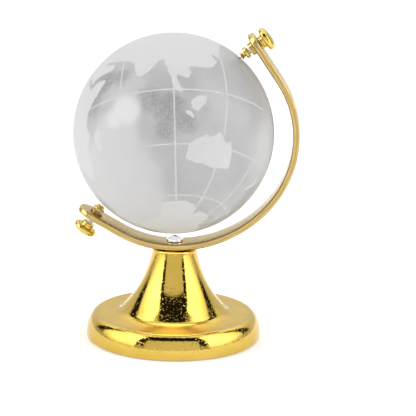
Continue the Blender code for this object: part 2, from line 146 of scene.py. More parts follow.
# Thumb screws.  face: gap from the ball to the cap.  neck, collar: lengths along the cap.
# boss: from the strip's middle to the knob.  bush: from the strip's face to the flange.
# flange: thickness of that flange.  middle: from the contact point to the strip's middle.
STUD_RADIUS = 0.75 * MM
BUSH_BARREL_RADIUS = 1.1 * MM
BUSH_FLANGE_RADIUS = 1.4 * MM
KNOB_RADIUS = 2.43 * MM
KNOB_THICKNESS = 1.6 * MM
KNOB_RIM_RADIUS = 0.5 * MM
BOSS_RADIUS = 1.35 * MM
BOSS_LENGTH = 0.85 * MM
CAP_FACE_RADIUS = 0.85 * MM
CAP_NECK_RADIUS = 0.5 * MM
COLLAR_RADIUS = 1.22 * MM
PIN_RADIUS = 0.25 * MM
PIN_REACH = 0.1 * MM
THUMB_SCREWS = {
    "upper": {
        "face": 0.49 * MM,
        "neck": 0.90 * MM,
        "collar": 0.75 * MM,
        "boss": 0.85 * MM,
        "bush": 0.10 * MM,
        "flange": 0.80 * MM,
        "middle": 4.24 * MM,
    },
    "lower": {
        "face": 1.10 * MM,
        "neck": 0.45 * MM,
        "collar": 0.40 * MM,
        "boss": 1.95 * MM,
        "bush": 0.20 * MM,
        "flange": 0.30 * MM,
        "middle": 3.44 * MM,
    },
}

# Camera
CAMERA_AZIMUTH = math.radians(3.46)
CAMERA_ELEVATION = math.radians(12.92)
CAMERA_ROLL = math.radians(1.19)
CAMERA_AIM = Vector((6.59 * MM, 0.0, 26.83 * MM))
CAMERA_DISTANCE = 0.3
CAMERA_LENS = 129.1

# Land on the globe as (longitude, latitude) outlines in degrees, simplified
LAND = {
    "eurasia": [
        (33, 30), (35, 28), (39, 22), (43, 16), (45, 17), (47, 19), (51, 19), (57, 19), (60, 20),
        (60, 23), (57, 25), (52, 26), (49, 29), (51, 29), (55, 27), (59, 26), (62, 26), (68, 24),
        (72, 22), (75, 19), (75, 15), (76, 12), (77, 10), (80, 10), (84, 13), (87, 17), (90, 20),
        (93, 20), (92, 17), (94, 14), (94, 11), (96, 8), (96, 5), (98, 0), (101, -2), (102, -1),
        (101, 1), (100, 4), (99, 6), (99, 9), (101, 9), (102, 8), (104, 7), (106, 8), (107, 11),
        (105, 14), (107, 15), (111, 15), (117, 15), (121, 17), (124, 21), (122, 24), (121, 26),
        (123, 27), (126, 25), (128, 30), (131, 36), (136, 41), (140, 47), (137, 51), (143, 56),
        (152, 58), (156, 53), (160, 57), (165, 60), (178, 64), (188, 66), (180, 69), (160, 70),
        (140, 73), (113, 75), (104, 78), (90, 76), (80, 73), (68, 70), (55, 69), (44, 67),
        (40, 65), (34, 67), (41, 68), (28, 71), (18, 69), (12, 65), (5, 62), (7, 58), (11, 59),
        (14, 56), (18, 60), (18, 63), (24, 65), (21, 61), (29, 60), (23, 58), (20, 55), (12, 54),
        (9, 57), (8, 54), (2, 51), (-4, 48), (-1, 45), (-2, 43), (-9, 43), (-9, 37), (-5, 36),
        (0, 40), (5, 43), (9, 44), (15, 40), (16, 38), (18, 40), (13, 45), (19, 42), (22, 37),
        (24, 40), (28, 37), (35, 36), (35, 32),
    ],
    "africa": [
        (33, 31), (36, 24), (39, 17), (43, 12), (47, 15), (50, 15), (53, 15), (56, 14), (53, 10),
        (50, 6), (45, 2), (41, -3), (39, -8), (41, -15), (35, -20), (35, -24), (30, -31),
        (26, -34), (20, -35), (18, -32), (15, -27), (12, -18), (13, -10), (9, -1), (9, 4), (5, 6),
        (-4, 5), (-8, 4), (-13, 9), (-17, 14), (-17, 21), (-10, 29), (-6, 35), (3, 37), (10, 37),
        (11, 34), (18, 31), (20, 33), (25, 32),
    ],
    "madagascar": [(44, -25), (47, -25), (50, -16), (49, -12), (44, -17)],
    "borneo": [
        (106, -7), (108, -5), (111, -3), (115, -3), (115, -5), (114, -8), (112, -10), (110, -12),
        (107, -11),
    ],
    "java": [(103, -12), (106, -12), (109, -15), (107, -16), (104, -14)],
    "australia": [
        (104, -38), (105, -33), (106, -29), (110, -27), (114, -25), (116, -24), (118, -25),
        (122, -24), (125, -21), (126, -24), (128, -26), (130, -27), (133, -25), (134, -28),
        (136, -32), (138, -40), (125, -42), (120, -41), (117, -40), (110, -40),
    ],
    "new_zealand": [(173, -35), (178, -38), (174, -42), (168, -47), (167, -45), (172, -41)],
    "greenland": [
        (315, 60), (320, 65), (335, 70), (341, 76), (340, 82), (325, 83), (300, 82), (292, 78),
        (300, 76), (306, 70), (307, 65),
    ],
    "north_america": [
        (192, 66), (196, 71), (205, 71), (218, 70), (232, 70), (245, 69), (255, 68), (265, 69),
        (275, 69), (279, 66), (272, 64), (266, 61), (266, 58), (275, 55), (280, 52), (281, 58),
        (283, 62), (290, 61), (295, 60), (304, 53), (300, 50), (294, 49), (298, 46), (290, 44),
        (289, 41), (284, 38), (284, 35), (279, 32), (280, 26), (278, 29), (270, 30), (263, 28),
        (263, 22), (266, 18), (270, 19), (273, 21), (271, 16), (277, 15), (277, 10), (280, 9),
        (277, 8), (272, 13), (264, 16), (255, 20), (250, 27), (242, 34), (236, 40), (236, 48),
        (230, 54), (222, 59), (213, 60), (207, 58), (198, 56), (203, 59), (195, 61), (195, 64),
    ],
    "south_america": [
        (280, 9), (287, 12), (295, 11), (300, 8), (308, 5), (311, 0), (317, -3), (325, -6),
        (321, -13), (319, -22), (312, -27), (306, -34), (302, -38), (295, -42), (294, -48),
        (291, -53), (286, -53), (285, -47), (287, -38), (289, -30), (290, -18), (284, -13),
        (279, -5), (280, 1), (283, 6),
    ],
    "britain": [(-5, 50), (1, 51), (1, 53), (-2, 56), (-4, 59), (-6, 57), (-3, 54)],
    "iceland": [(-24, 65), (-19, 63), (-14, 65), (-16, 67), (-22, 66)],
    "cuba": [(275, 22), (282, 23), (286, 20), (283, 20)],
}
ANTARCTIC_COAST = [
    (0, -70), (20, -73), (49, -75), (62, -74), (71, -71), (79, -66), (90, -64), (105, -64),
    (114, -65), (123, -66), (127, -69), (129, -74), (136, -71), (144, -70), (165, -70), (172, -73),
    (190, -78), (220, -75), (250, -73), (285, -73), (300, -64), (304, -67), (299, -75),
    (320, -78), (340, -72),
]


# ---------------------------------------------------------------- outlines

def arc_points(centre, radii, start, end, steps):
    """Points of an elliptical arc in a (radius, height) outline, angles in degrees."""
    made = []
    for step in range(steps + 1):
        angle = math.radians(start + (end - start) * step / steps)
        made.append((centre[0] + radii[0] * math.cos(angle), centre[1] + radii[1] * math.sin(angle)))
    return made


def bezier_points(start, pull_start, pull_end, end, steps):
    """Points of a cubic curve, without its first one."""
    made = []
    for step in range(1, steps + 1):
        t = step / steps
        point = start * (1.0 - t) ** 3
        point += (start + pull_start) * (3.0 * t * (1.0 - t) ** 2)
        point += (end + pull_end) * (3.0 * t * t * (1.0 - t))
        point += end * t ** 3
        made.append((point.x, point.y))
    return made


def rounded(corners, closed=False, steps=5):
    """An outline from (radius, height, fillet) corners, each filleted corner made an arc."""
    made = []
    count = len(corners)
    for k, (x, y, fillet) in enumerate(corners):
        corner = Vector((x, y))
        at_end = not closed and k in (0, count - 1)
        if fillet == 0.0 or at_end:
            made.append((x, y))
            continue
        before = (Vector(corners[k - 1][:2]) - corner).normalized()
        after = (Vector(corners[(k + 1) % count][:2]) - corner).normalized()
        half = before.angle(after) / 2.0
        centre = corner + (before + after).normalized() * (fillet / math.sin(half))
        first = (corner + before * (fillet / math.tan(half)) - centre) / fillet
        last = (corner + after * (fillet / math.tan(half)) - centre) / fillet
        for step in range(steps + 1):
            spoke = first.slerp(last, step / steps)
            made.append(tuple(centre + spoke * fillet))
    return made


# ---------------------------------------------------------------- meshes

def new_object(name, data):
    made = bpy.data.objects.new(name, data)
    bpy.context.scene.collection.objects.link(made)
    return made


def facing(centre, direction):
    """Placement that moves the origin to centre and turns Z to direction."""
    return Matrix.Translation(centre) @ UP.rotation_difference(direction).to_matrix().to_4x4()


def finish_mesh(name, form, merge=MERGE_DISTANCE, sharp=SHARP_ANGLE):
    bmesh.ops.remove_doubles(form, verts=form.verts, dist=merge)
    bmesh.ops.recalc_face_normals(form, faces=form.faces)
    mesh = bpy.data.meshes.new(name)
    form.to_mesh(mesh)
    form.free()
    mesh.shade_smooth()
    mesh.set_sharp_from_angle(angle=math.radians(sharp))
    return mesh


def turned_mesh(name, outline, segments, closed=False):
    """Spin an outline of (radius, height) points about Z."""
    form = bmesh.new()
    points = [form.verts.new((radius, 0.0, height)) for radius, height in outline]
    pairs = list(zip(points, points[1:]))
    if closed:
        pairs.append((points[-1], points[0]))
    edges = [form.edges.new(pair) for pair in pairs]
    bmesh.ops.spin(
        form,
        geom=points + edges,
        cent=(0.0, 0.0, 0.0),
        axis=UP,
        angle=2.0 * math.pi,
        steps=segments,
        use_merge=True,
    )
    return finish_mesh(name, form)


def add_piece(name, mesh, surface, body, node, place=None):
    """Put a piece where it belongs, on its body, in place of its CAD node.

    The mesh keeps its own coordinates from before it was placed in the attribute "own",
    for finishes that follow the way the piece was made.
    """
    own = mesh.attributes.new("own", "FLOAT_VECTOR", "POINT")
    places = np.zeros(len(mesh.vertices) * 3, np.float32)
    mesh.vertices.foreach_get("co", places)
    own.data.foreach_set("vector", places)
    if place is not None:
        mesh.transform(place)
    piece = new_object(name, mesh)
    mesh.materials.append(surface)
    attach(piece, body)
    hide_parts(node)
    return piece


def threaded_mesh(name, radius, start, end, around=24, rows_per_turn=8):
    """A rod about Z with a real helical thread, fading out at its chamfered ends."""
    form = bmesh.new()
    rows = int((end - start) / THREAD_PITCH * rows_per_turn)
    rings = []
    for row in range(rows + 1):
        height = start + (end - start) * row / rows
        from_end = min(height - start, end - height)
        ring = []
        for k in range(around):
            share = k / around
            phase = (height / THREAD_PITCH - share) % 1.0
            ridge = abs(2.0 * phase - 1.0)
            crest = min(1.0, max(0.0, 1.45 * ridge - 0.2))
            reach = radius - THREAD_DEPTH * (1.0 - crest)
            reach = min(reach, radius - THREAD_DEPTH + from_end)
            angle = 2.0 * math.pi * share
            ring.append(form.verts.new((reach * math.cos(angle), reach * math.sin(angle), height)))
        rings.append(ring)
    for ring_a, ring_b in zip(rings, rings[1:]):
        for k in range(around):
            after = (k + 1) % around
            form.faces.new((ring_a[k], ring_a[after], ring_b[after], ring_b[k]))
    form.faces.new(list(reversed(rings[0])))
    form.faces.new(rings[-1])
    return finish_mesh(name, form, sharp=THREAD_SHARP_ANGLE)


def combine(mesh, tools, operation):
    """A mesh after an exact Boolean with each tool in turn; the tools are used up."""
    item = new_object(mesh.name + "_raw", mesh)
    for tool in tools:
        step = item.modifiers.new(tool.name, "BOOLEAN")
        step.operation = operation
        step.solver = "EXACT"
        step.object = tool
    bpy.context.view_layer.update()
    made = bpy.data.meshes.new_from_object(item.evaluated_get(bpy.context.evaluated_depsgraph_get()))
    for tool in tools + [item]:
        bpy.data.objects.remove(tool)
    made.materials.clear()
    made.set_sharp_from_angle(angle=math.radians(SHARP_ANGLE))
    return made


# ---------------------------------------------------------------- node building

def put(tree, socket, value):
    if isinstance(value, bpy.types.NodeSocket):
        tree.links.new(value, socket)
    else:
        socket.default_value = value


def maths(tree, operation, *values):
    node = tree.nodes.new("ShaderNodeMath")
    node.operation = operation
    for socket, value in zip(node.inputs, values):
        put(tree, socket, value)
    return node.outputs[0]


def times(tree, first, second):
    return maths(tree, "MULTIPLY", first, second)


def plus(tree, first, second):
    return maths(tree, "ADD", first, second)


def minus(tree, first, second):
    return maths(tree, "SUBTRACT", first, second)


def larger(tree, first, second):
    return maths(tree, "MAXIMUM", first, second)


def remap(tree, value, low, high, to_low=0.0, to_high=1.0):
    """Smooth step from low to high."""
    node = tree.nodes.new("ShaderNodeMapRange")
    node.interpolation_type = "SMOOTHSTEP"
    put(tree, node.inputs["Value"], value)
    node.inputs["From Min"].default_value = low
    node.inputs["From Max"].default_value = high
    node.inputs["To Min"].default_value = to_low
    node.inputs["To Max"].default_value = to_high
    return node.outputs["Result"]


def band(tree, value, low, high, soft):
    """1 where value is between low and high, with soft edges."""
    rise = remap(tree, value, low - soft, low + soft)
    fall = remap(tree, value, high - soft, high + soft, 1.0, 0.0)
    return times(tree, rise, fall)


def mix_colour(tree, share, first, second):
    node = tree.nodes.new("ShaderNodeMix")
    node.data_type = "RGBA"
    put(tree, node.inputs["Factor"], share)
    put(tree, node.inputs["A"], first)
    put(tree, node.inputs["B"], second)
    return node.outputs["Result"]


def own_place(tree):
    """The piece's own coordinates, as it was made."""
    node = tree.nodes.new("ShaderNodeAttribute")
    node.attribute_name = "own"
    return node.outputs["Vector"]


def split(tree, vector):
    node = tree.nodes.new("ShaderNodeSeparateXYZ")
    put(tree, node.inputs[0], vector)
    return node.outputs


def join(tree, x, y, z):
    node = tree.nodes.new("ShaderNodeCombineXYZ")
    for socket, value in zip(node.inputs, (x, y, z)):
        put(tree, socket, value)
    return node.outputs[0]


def grain(tree, place, size, detail=2.0, rough=0.5):
    """Noise from 0 to 1 whose blobs are about size across."""
    node = tree.nodes.new("ShaderNodeTexNoise")
    put(tree, node.inputs["Vector"], place)
    node.inputs["Scale"].default_value = 1.0 / size
    node.inputs["Detail"].default_value = detail
    node.inputs["Roughness"].default_value = rough
    return node.outputs["Fac"]


def clouds(tree, place, size):
    """Soft patches about size across."""
    return remap(tree, grain(tree, place, size), 0.3, 0.7)


def cells(tree, place, size):
    """Distance from the middle of the nearest of many cells, each about size across."""
    node = tree.nodes.new("ShaderNodeTexVoronoi")
    put(tree, node.inputs["Vector"], place)
    node.inputs["Scale"].default_value = 1.0 / size
    return node.outputs["Distance"]


def bump(tree, height, depth, before=None):
    """Normal from a height map from 0 to 1 that is depth deep."""
    node = tree.nodes.new("ShaderNodeBump")
    put(tree, node.inputs["Height"], height)
    node.inputs["Distance"].default_value = depth
    if before is not None:
        put(tree, node.inputs["Normal"], before)
    return node.outputs["Normal"]


def attribute(tree, name):
    node = tree.nodes.new("ShaderNodeAttribute")
    node.attribute_name = name
    return node.outputs["Fac"]


def start_material(name, metallic=0.0):
    made = bpy.data.materials.new(name)
    made.use_nodes = True
    shader = made.node_tree.nodes["Principled BSDF"]
    shader.inputs["Metallic"].default_value = metallic
    return made, made.node_tree, shader


def rgb(red, green, blue):
    return (red, green, blue, 1.0)


def grey(level):
    return (level, level, level, 1.0)


# ---------------------------------------------------------------- finishes

def axis_distance(tree, x, y):
    square_x = times(tree, x, x)
    square_y = times(tree, y, y)
    return maths(tree, "SQRT", plus(tree, square_x, square_y))


def cast_gold():
    """Plated casting: bright gold over a fine pebbled skin.

    The neck and the rim are buffed; the ledge between them, where the wheel doesn't reach,
    is duller.
    """
    made, tree, shader = start_material("cast_gold", metallic=1.0)
    place = own_place(tree)
    x, y, z = split(tree, place)
    ledge = band(tree, axis_distance(tree, x, y), 11.4 * MM, 15.4 * MM, 0.7 * MM)
    pebble = remap(tree, cells(tree, place, 0.42 * MM), 0.05, 0.38, 1.0, 0.0)
    wave = grain(tree, place, 3.1 * MM)
    cloud = clouds(tree, place, 6.0 * MM)
    gold = mix_colour(tree, cloud, rgb(0.67, 0.46, 0.080), rgb(0.72, 0.50, 0.105))
    put(tree, shader.inputs["Base Color"], gold)
    buffed = remap(tree, pebble, 0.0, 1.0, 0.07, 0.12)
    dulled = times(tree, ledge, 0.26)
    put(tree, shader.inputs["Roughness"], plus(tree, buffed, dulled))
    coarse = bump(tree, wave, 0.010 * MM)
    put(tree, shader.inputs["Normal"], bump(tree, pebble, 0.014 * MM, coarse))
    return made


def turned_metal(name, dark, light, groove):
    """Polished metal with faint rings left by the lathe, groove deep."""
    made, tree, shader = start_material(name, metallic=1.0)
    place = own_place(tree)
    x, y, z = split(tree, place)
    rings = grain(tree, join(tree, axis_distance(tree, x, y), 0.0, z), 0.12 * MM)
    cloud = clouds(tree, place, 1.3 * MM)
    put(tree, shader.inputs["Base Color"], mix_colour(tree, cloud, dark, light))
    put(tree, shader.inputs["Roughness"], remap(tree, rings, 0.3, 0.7, 0.08, 0.16))
    put(tree, shader.inputs["Normal"], bump(tree, rings, groove))
    return made


def turned_gold():
    return turned_metal("turned_gold", rgb(0.66, 0.48, 0.10), rgb(0.74, 0.57, 0.16), 0.006 * MM)


def turned_brass():
    return turned_metal("turned_brass", rgb(0.50, 0.36, 0.12), rgb(0.62, 0.46, 0.18), 0.012 * MM)


def brushed_brass():
    """Pale satin brass, brushed along the strip, with a dark line on its cut edges, part shear line and
    part painted reflection.
    """
    made, tree, shader = start_material("brushed_brass", metallic=1.0)
    along = attribute(tree, "along")
    across = attribute(tree, "across")
    place = own_place(tree)
    x, y, z = split(tree, place)
    fine = join(tree, times(tree, along, 0.04), across, 0.0)
    broad = join(tree, times(tree, along, 0.08), across, 0.0)
    strokes = grain(tree, fine, 0.11 * MM, detail=3.0)
    lines = remap(tree, grain(tree, fine, 0.30 * MM), 0.50, 0.62)
    streaks = grain(tree, broad, 0.7 * MM)
    cloud = clouds(tree, place, 4.0 * MM)
    shade = plus(tree, times(tree, cloud, 0.5), times(tree, streaks, 0.5))
    face = mix_colour(tree, shade, rgb(0.62, 0.44, 0.14), rgb(0.73, 0.56, 0.24))
    cut = mix_colour(tree, shade, rgb(0.53, 0.38, 0.14), rgb(0.63, 0.47, 0.20))
    half = STRIP_WIDTH / 2.0
    edge = remap(tree, maths(tree, "ABSOLUTE", y), half - 0.30 * MM, half - 0.05 * MM)
    # Painted reflection: a dark line wandering along the middle of the cut edges, placed where a
    # blanked edge has its shear line
    wander = minus(tree, grain(tree, join(tree, along, 0.0, 0.0), 6.0 * MM), 0.5)
    depth = plus(tree, attribute(tree, "depth"), times(tree, wander, 1.4 * MM))
    shear_and_painted_reflection = band(tree, depth, 0.45 * STRIP_THICKNESS, 0.70 * STRIP_THICKNESS, 0.07 * MM)
    shear_and_painted_reflection = times(tree, shear_and_painted_reflection, times(tree, edge, 0.55))
    dark = larger(tree, shear_and_painted_reflection, times(tree, lines, 0.35))
    colour = mix_colour(tree, edge, face, cut)
    # One dark colour for the brushed lines and for the painted reflection line on the edges
    put(tree, shader.inputs["Base Color"], mix_colour(tree, dark, colour, rgb(0.34, 0.23, 0.07)))
    put(tree, shader.inputs["Roughness"], remap(tree, strokes, 0.3, 0.7, 0.18, 0.30))
    put(tree, shader.inputs["Normal"], bump(tree, strokes, 0.014 * MM))
    return made


def bright_steel():
    """Zinc-bright steel with turning marks and a few dull spots."""
    made, tree, shader = start_material("bright_steel", metallic=1.0)
    place = own_place(tree)
    x, y, z = split(tree, place)
    rings = grain(tree, join(tree, axis_distance(tree, x, y), 0.0, z), 0.08 * MM)
    spots = remap(tree, grain(tree, place, 0.5 * MM, detail=3.0), 0.5, 0.7)
    zinc = mix_colour(tree, spots, rgb(0.90, 0.90, 0.91), rgb(0.66, 0.66, 0.69))
    put(tree, shader.inputs["Base Color"], zinc)
    turned = remap(tree, rings, 0.3, 0.7, 0.14, 0.24)
    put(tree, shader.inputs["Roughness"], plus(tree, turned, times(tree, spots, 0.12)))
    put(tree, shader.inputs["Normal"], bump(tree, rings, 0.003 * MM))
    return made


def fold_to_line(tree, angle, step, offset):
    """Degrees from the nearest multiple of step, counted from offset."""
    shifted = plus(tree, angle, 720.0 - offset + step / 2.0)
    folded = minus(tree, maths(tree, "MODULO", shifted, step), step / 2.0)
    return maths(tree, "ABSOLUTE", folded)


def graticule(tree, place):
    """1 on the engraved meridians and parallels, 0 between them."""
    x, y, z = split(tree, place)
    flat = axis_distance(tree, x, y)
    longitude = maths(tree, "DEGREES", maths(tree, "ARCTAN2", y, x))
    latitude = maths(tree, "DEGREES", maths(tree, "ARCTAN2", z, flat))
    meridian_angle = fold_to_line(tree, longitude, GRATICULE_STEP, GRATICULE_FIRST)
    off_meridian = maths(tree, "RADIANS", meridian_angle)
    off_parallel = maths(tree, "RADIANS", fold_to_line(tree, latitude, GRATICULE_STEP, 0.0))
    to_meridian = times(tree, off_meridian, flat)
    to_parallel = times(tree, off_parallel, BALL_RADIUS)
    nearest = maths(tree, "MINIMUM", to_meridian, to_parallel)
    half = GRATICULE_WIDTH / 2.0
    return remap(tree, nearest, 0.6 * half, 1.4 * half, 1.0, 0.0)


def spot_on_ball(tree, place, longitude, latitude, inner, outer):
    """1 within inner degrees of a point on the map, 0 beyond outer degrees."""
    node = tree.nodes.new("ShaderNodeVectorMath")
    node.operation = "DISTANCE"
    put(tree, node.inputs[0], place)
    node.inputs[1].default_value = tuple(on_globe(longitude, latitude) * BALL_RADIUS)
    reach = [2.0 * BALL_RADIUS * math.sin(math.radians(angle) / 2.0) for angle in (inner, outer)]
    return remap(tree, node.outputs["Value"], reach[0], reach[1], 1.0, 0.0)


def spots_on_ball(tree, place, spots, drift):
    """Union of soft round spots, their edges pushed about by the noise in drift."""
    total = spot_on_ball(tree, place, *spots[0])
    for spot in spots[1:]:
        total = larger(tree, total, spot_on_ball(tree, place, *spot))
    return remap(tree, plus(tree, total, drift), 0.0, 1.0)


def curls_in(tree, place, size):
    """Thin wandering lines: where a distorted noise passes through its middle value."""
    node = tree.nodes.new("ShaderNodeTexNoise")
    put(tree, node.inputs["Vector"], place)
    node.inputs["Scale"].default_value = 1.0 / size
    node.inputs["Detail"].default_value = 3.0
    node.inputs["Distortion"].default_value = 2.0
    from_middle = maths(tree, "ABSOLUTE", minus(tree, node.outputs["Fac"], 0.5))
    return remap(tree, from_middle, 0.01, 0.06, 1.0, 0.0)


def etched_glass():
    """Crystal with sandblasted land and lines over a hazy sea.

    The haze is uneven: pale in the south-west, where the lines fade into it.  One patch is a painted
    highlight, nearly white, and mid-ocean patches are painted darker, with fine wandering lines, as
    painted refraction.
    """
    made, tree, shader = start_material("etched_glass")
    place = own_place(tree)
    ragged = minus(tree, grain(tree, place, 0.9 * MM, detail=3.0), 0.5)
    coast = plus(tree, attribute(tree, "inland"), times(tree, ragged, 0.5 * MM))
    land = remap(tree, coast, -0.06 * MM, 0.06 * MM)
    drift = minus(tree, grain(tree, place, 4.5 * MM, detail=4.0, rough=0.6), 0.5)
    veil = spots_on_ball(tree, place, VEIL_SPOTS, drift)
    # Painted highlight: where the near-white spot is painted into the colour
    bright = spots_on_ball(tree, place, PAINTED_HIGHLIGHT_SPOTS, drift)
    # Painted dark refraction: mid-ocean patches painted darker, kept off the haze
    painted_refraction = spots_on_ball(tree, place, PAINTED_REFRACTION_SPOTS, times(tree, drift, 2.2))
    painted_refraction = times(tree, painted_refraction, minus(tree, 1.0, veil))
    # Lighter wandering lines inside the painted dark refraction
    refraction_curls = curls_in(tree, place, 1.15 * MM)
    lines = times(tree, graticule(tree, place), remap(tree, veil, 0.0, 1.0, 0.85, 0.08))
    etched = larger(tree, land, lines)
    frost = larger(tree, etched, times(tree, veil, 0.9))
    blast = grain(tree, place, 0.16 * MM, detail=2.0)
    cloud = clouds(tree, place, 5.0 * MM)
    sea = mix_colour(tree, cloud, grey(0.525), grey(0.575))
    # Painted refraction colour: dark grey with lighter wandering lines
    refraction_colour = mix_colour(tree, refraction_curls, grey(0.36), grey(0.51))
    sea = mix_colour(tree, painted_refraction, sea, refraction_colour)
    sea = mix_colour(tree, veil, sea, grey(0.585))
    # Painted highlight mixed into the sea colour
    sea = mix_colour(tree, bright, sea, grey(0.69))
    land_colour = mix_colour(tree, blast, grey(0.605), grey(0.65))
    put(tree, shader.inputs["Base Color"], mix_colour(tree, etched, sea, land_colour))
    put(tree, shader.inputs["Roughness"], remap(tree, frost, 0.0, 1.0, 0.30, 0.62))
    put(tree, shader.inputs["Transmission Weight"], remap(tree, frost, 0.0, 1.0, 0.35, 0.12))
    skin = times(tree, blast, plus(tree, times(tree, frost, 0.8), 0.2))
    put(tree, shader.inputs["Normal"], bump(tree, skin, 0.01 * MM))
    shader.inputs["IOR"].default_value = 1.5
    shader.inputs["Sheen Weight"].default_value = 0.12
    shader.inputs["Sheen Roughness"].default_value = 0.4
    return made


def grey_foam():
    """Closed-cell foam with its small bubbles."""
    made, tree, shader = start_material("grey_foam")
    place = own_place(tree)
    cell = cells(tree, place, 0.35 * MM)
    cloud = grain(tree, place, 2.0 * MM)
    foam = mix_colour(tree, cloud, rgb(0.030, 0.030, 0.034), rgb(0.065, 0.065, 0.072))
    put(tree, shader.inputs["Base Color"], foam)
    put(tree, shader.inputs["Roughness"], remap(tree, cell, 0.0, 0.8, 0.75, 0.95))
    put(tree, shader.inputs["Normal"], bump(tree, cell, 0.05 * MM))
    return made


# ---------------------------------------------------------------- ball

def map_matrix():
    """The map's frame on the ball: Z to its north pole, X to longitude 0 on the equator."""
    facing = Vector((0.059, -0.973, 0.224))
    front = (facing - MAP_NORTH * facing.dot(MAP_NORTH)).normalized()
    east = MAP_NORTH.cross(front)
    turn = math.radians(MAP_FRONT_LONGITUDE)
    x_axis = front * math.cos(turn) - east * math.sin(turn)
    y_axis = MAP_NORTH.cross(x_axis)
    turned = Matrix((x_axis, y_axis, MAP_NORTH)).transposed().to_4x4()
    return Matrix.Translation(BALL_CENTRE) @ turned


def on_globe(longitude, latitude):
    longitude, latitude = math.radians(longitude), math.radians(latitude)
    flat = math.cos(latitude)
    return np.array((flat * math.cos(longitude), flat * math.sin(longitude), math.sin(latitude)))


def coast_distance(points, outline):
    """Distance from each unit point to a closed outline, its long edges bent over the ball."""
    nearest = np.full(len(points), 4.0)
    for (lon_a, lat_a), (lon_b, lat_b) in zip(outline, outline[1:] + outline[:1]):
        steps = 1 + int(max(abs(lon_b - lon_a), abs(lat_b - lat_a)) / 5.0)
        for step in range(steps):
            low, high = step / steps, (step + 1) / steps
            start = on_globe(lon_a + (lon_b - lon_a) * low, lat_a + (lat_b - lat_a) * low)
            end = on_globe(lon_a + (lon_b - lon_a) * high, lat_a + (lat_b - lat_a) * high)
            edge = end - start
            near = points @ ((start + end) / 2.0) > COAST_REACH
            gap = points[near] - start
            share = np.clip(gap @ edge / (edge @ edge), 0.0, 1.0)
            gap -= share[:, None] * edge
            nearest[near] = np.minimum(nearest[near], np.einsum("ij,ij->i", gap, gap))
    return np.sqrt(nearest)


def inside_outline(longitudes, latitudes, outline):
    """Which points lie inside, by counting crossings on the flat map."""
    middle = sum(lon for lon, lat in outline) / len(outline)
    longitudes = (longitudes - middle + 180.0) % 360.0 - 180.0 + middle
    inside = np.zeros(len(longitudes), bool)
    for (lon_a, lat_a), (lon_b, lat_b) in zip(outline, outline[1:] + outline[:1]):
        if lat_a == lat_b:
            continue
        crosses = (lat_a > latitudes) != (lat_b > latitudes)
        at = lon_a + (latitudes - lat_a) * (lon_b - lon_a) / (lat_b - lat_a)
        inside ^= crosses & (longitudes < at)
    return inside


def distance_inland(points):
    """Metres inland for each unit point in the map's frame, negative at sea."""
    longitudes = np.degrees(np.arctan2(points[:, 1], points[:, 0]))
    latitudes = np.degrees(np.arcsin(np.clip(points[:, 2], -1.0, 1.0)))
    coast = ANTARCTIC_COAST
    edge = np.interp(longitudes, [lon for lon, lat in coast], [lat for lon, lat in coast], period=360.0)
    ice_ring = coast[:-1] + [coast[-1], (360, coast[0][1])]
    land = latitudes < edge
    nearest = coast_distance(points, ice_ring)
    for outline in LAND.values():
        land |= inside_outline(longitudes, latitudes, outline)
        nearest = np.minimum(nearest, coast_distance(points, outline))
    return np.where(land, nearest, -nearest) * BALL_RADIUS


def ball_outline():
    """Half outline of the ball about its spin axis, with a shallow dimple at each pole."""
    mouth = math.degrees(math.asin(DIMPLE_RADIUS / BALL_RADIUS))
    mouth_height = BALL_RADIUS * math.cos(math.radians(mouth))
    floor = BALL_RADIUS - DIMPLE_DEPTH
    upper = []
    for step in range(9):
        share = step / 9.0
        upper.append((DIMPLE_RADIUS * share, floor + (mouth_height - floor) * share * share))
    upper += arc_points((0.0, 0.0), (BALL_RADIUS, BALL_RADIUS), 90.0 - mouth, 0.0, 112)
    lower = [(radius, -height) for radius, height in reversed(upper[:-1])]
    return upper + lower


def make_ball():
    mesh = turned_mesh("globe_ball", ball_outline(), 400)
    place = map_matrix()
    mesh.transform(place.inverted() @ facing(BALL_CENTRE, SPIN_AXIS))
    count = len(mesh.vertices)
    points = np.zeros(count * 3)
    mesh.vertices.foreach_get("co", points)
    points = points.reshape(-1, 3)
    units = points / np.linalg.norm(points, axis=1)[:, None]
    inland = mesh.attributes.new("inland", "FLOAT", "POINT")
    inland.data.foreach_set("value", distance_inland(units).astype(np.float32))
    add_piece("globe_ball", mesh, etched_glass(), "globe", "glass_globe", place)


# ---------------------------------------------------------------- strip

def bend_point(angle):
    """A point of the strip's inner face on the bend, and the direction it runs in."""
    spread = 2.0 * (angle - STRIP_SPRING_ANGLE)
    radius = STRIP_MEAN_RADIUS + STRIP_SPRING * math.cos(spread)
    slope = -2.0 * STRIP_SPRING * math.sin(spread)
    outward = Vector((math.cos(angle), 0.0, math.sin(angle)))
    along = Vector((-math.sin(angle), 0.0, math.cos(angle)))
    return STRIP_CENTRE + outward * radius, (along * radius + outward * slope).normalized()


def square_to(along):
    return Vector((along.z, 0.0, -along.x))


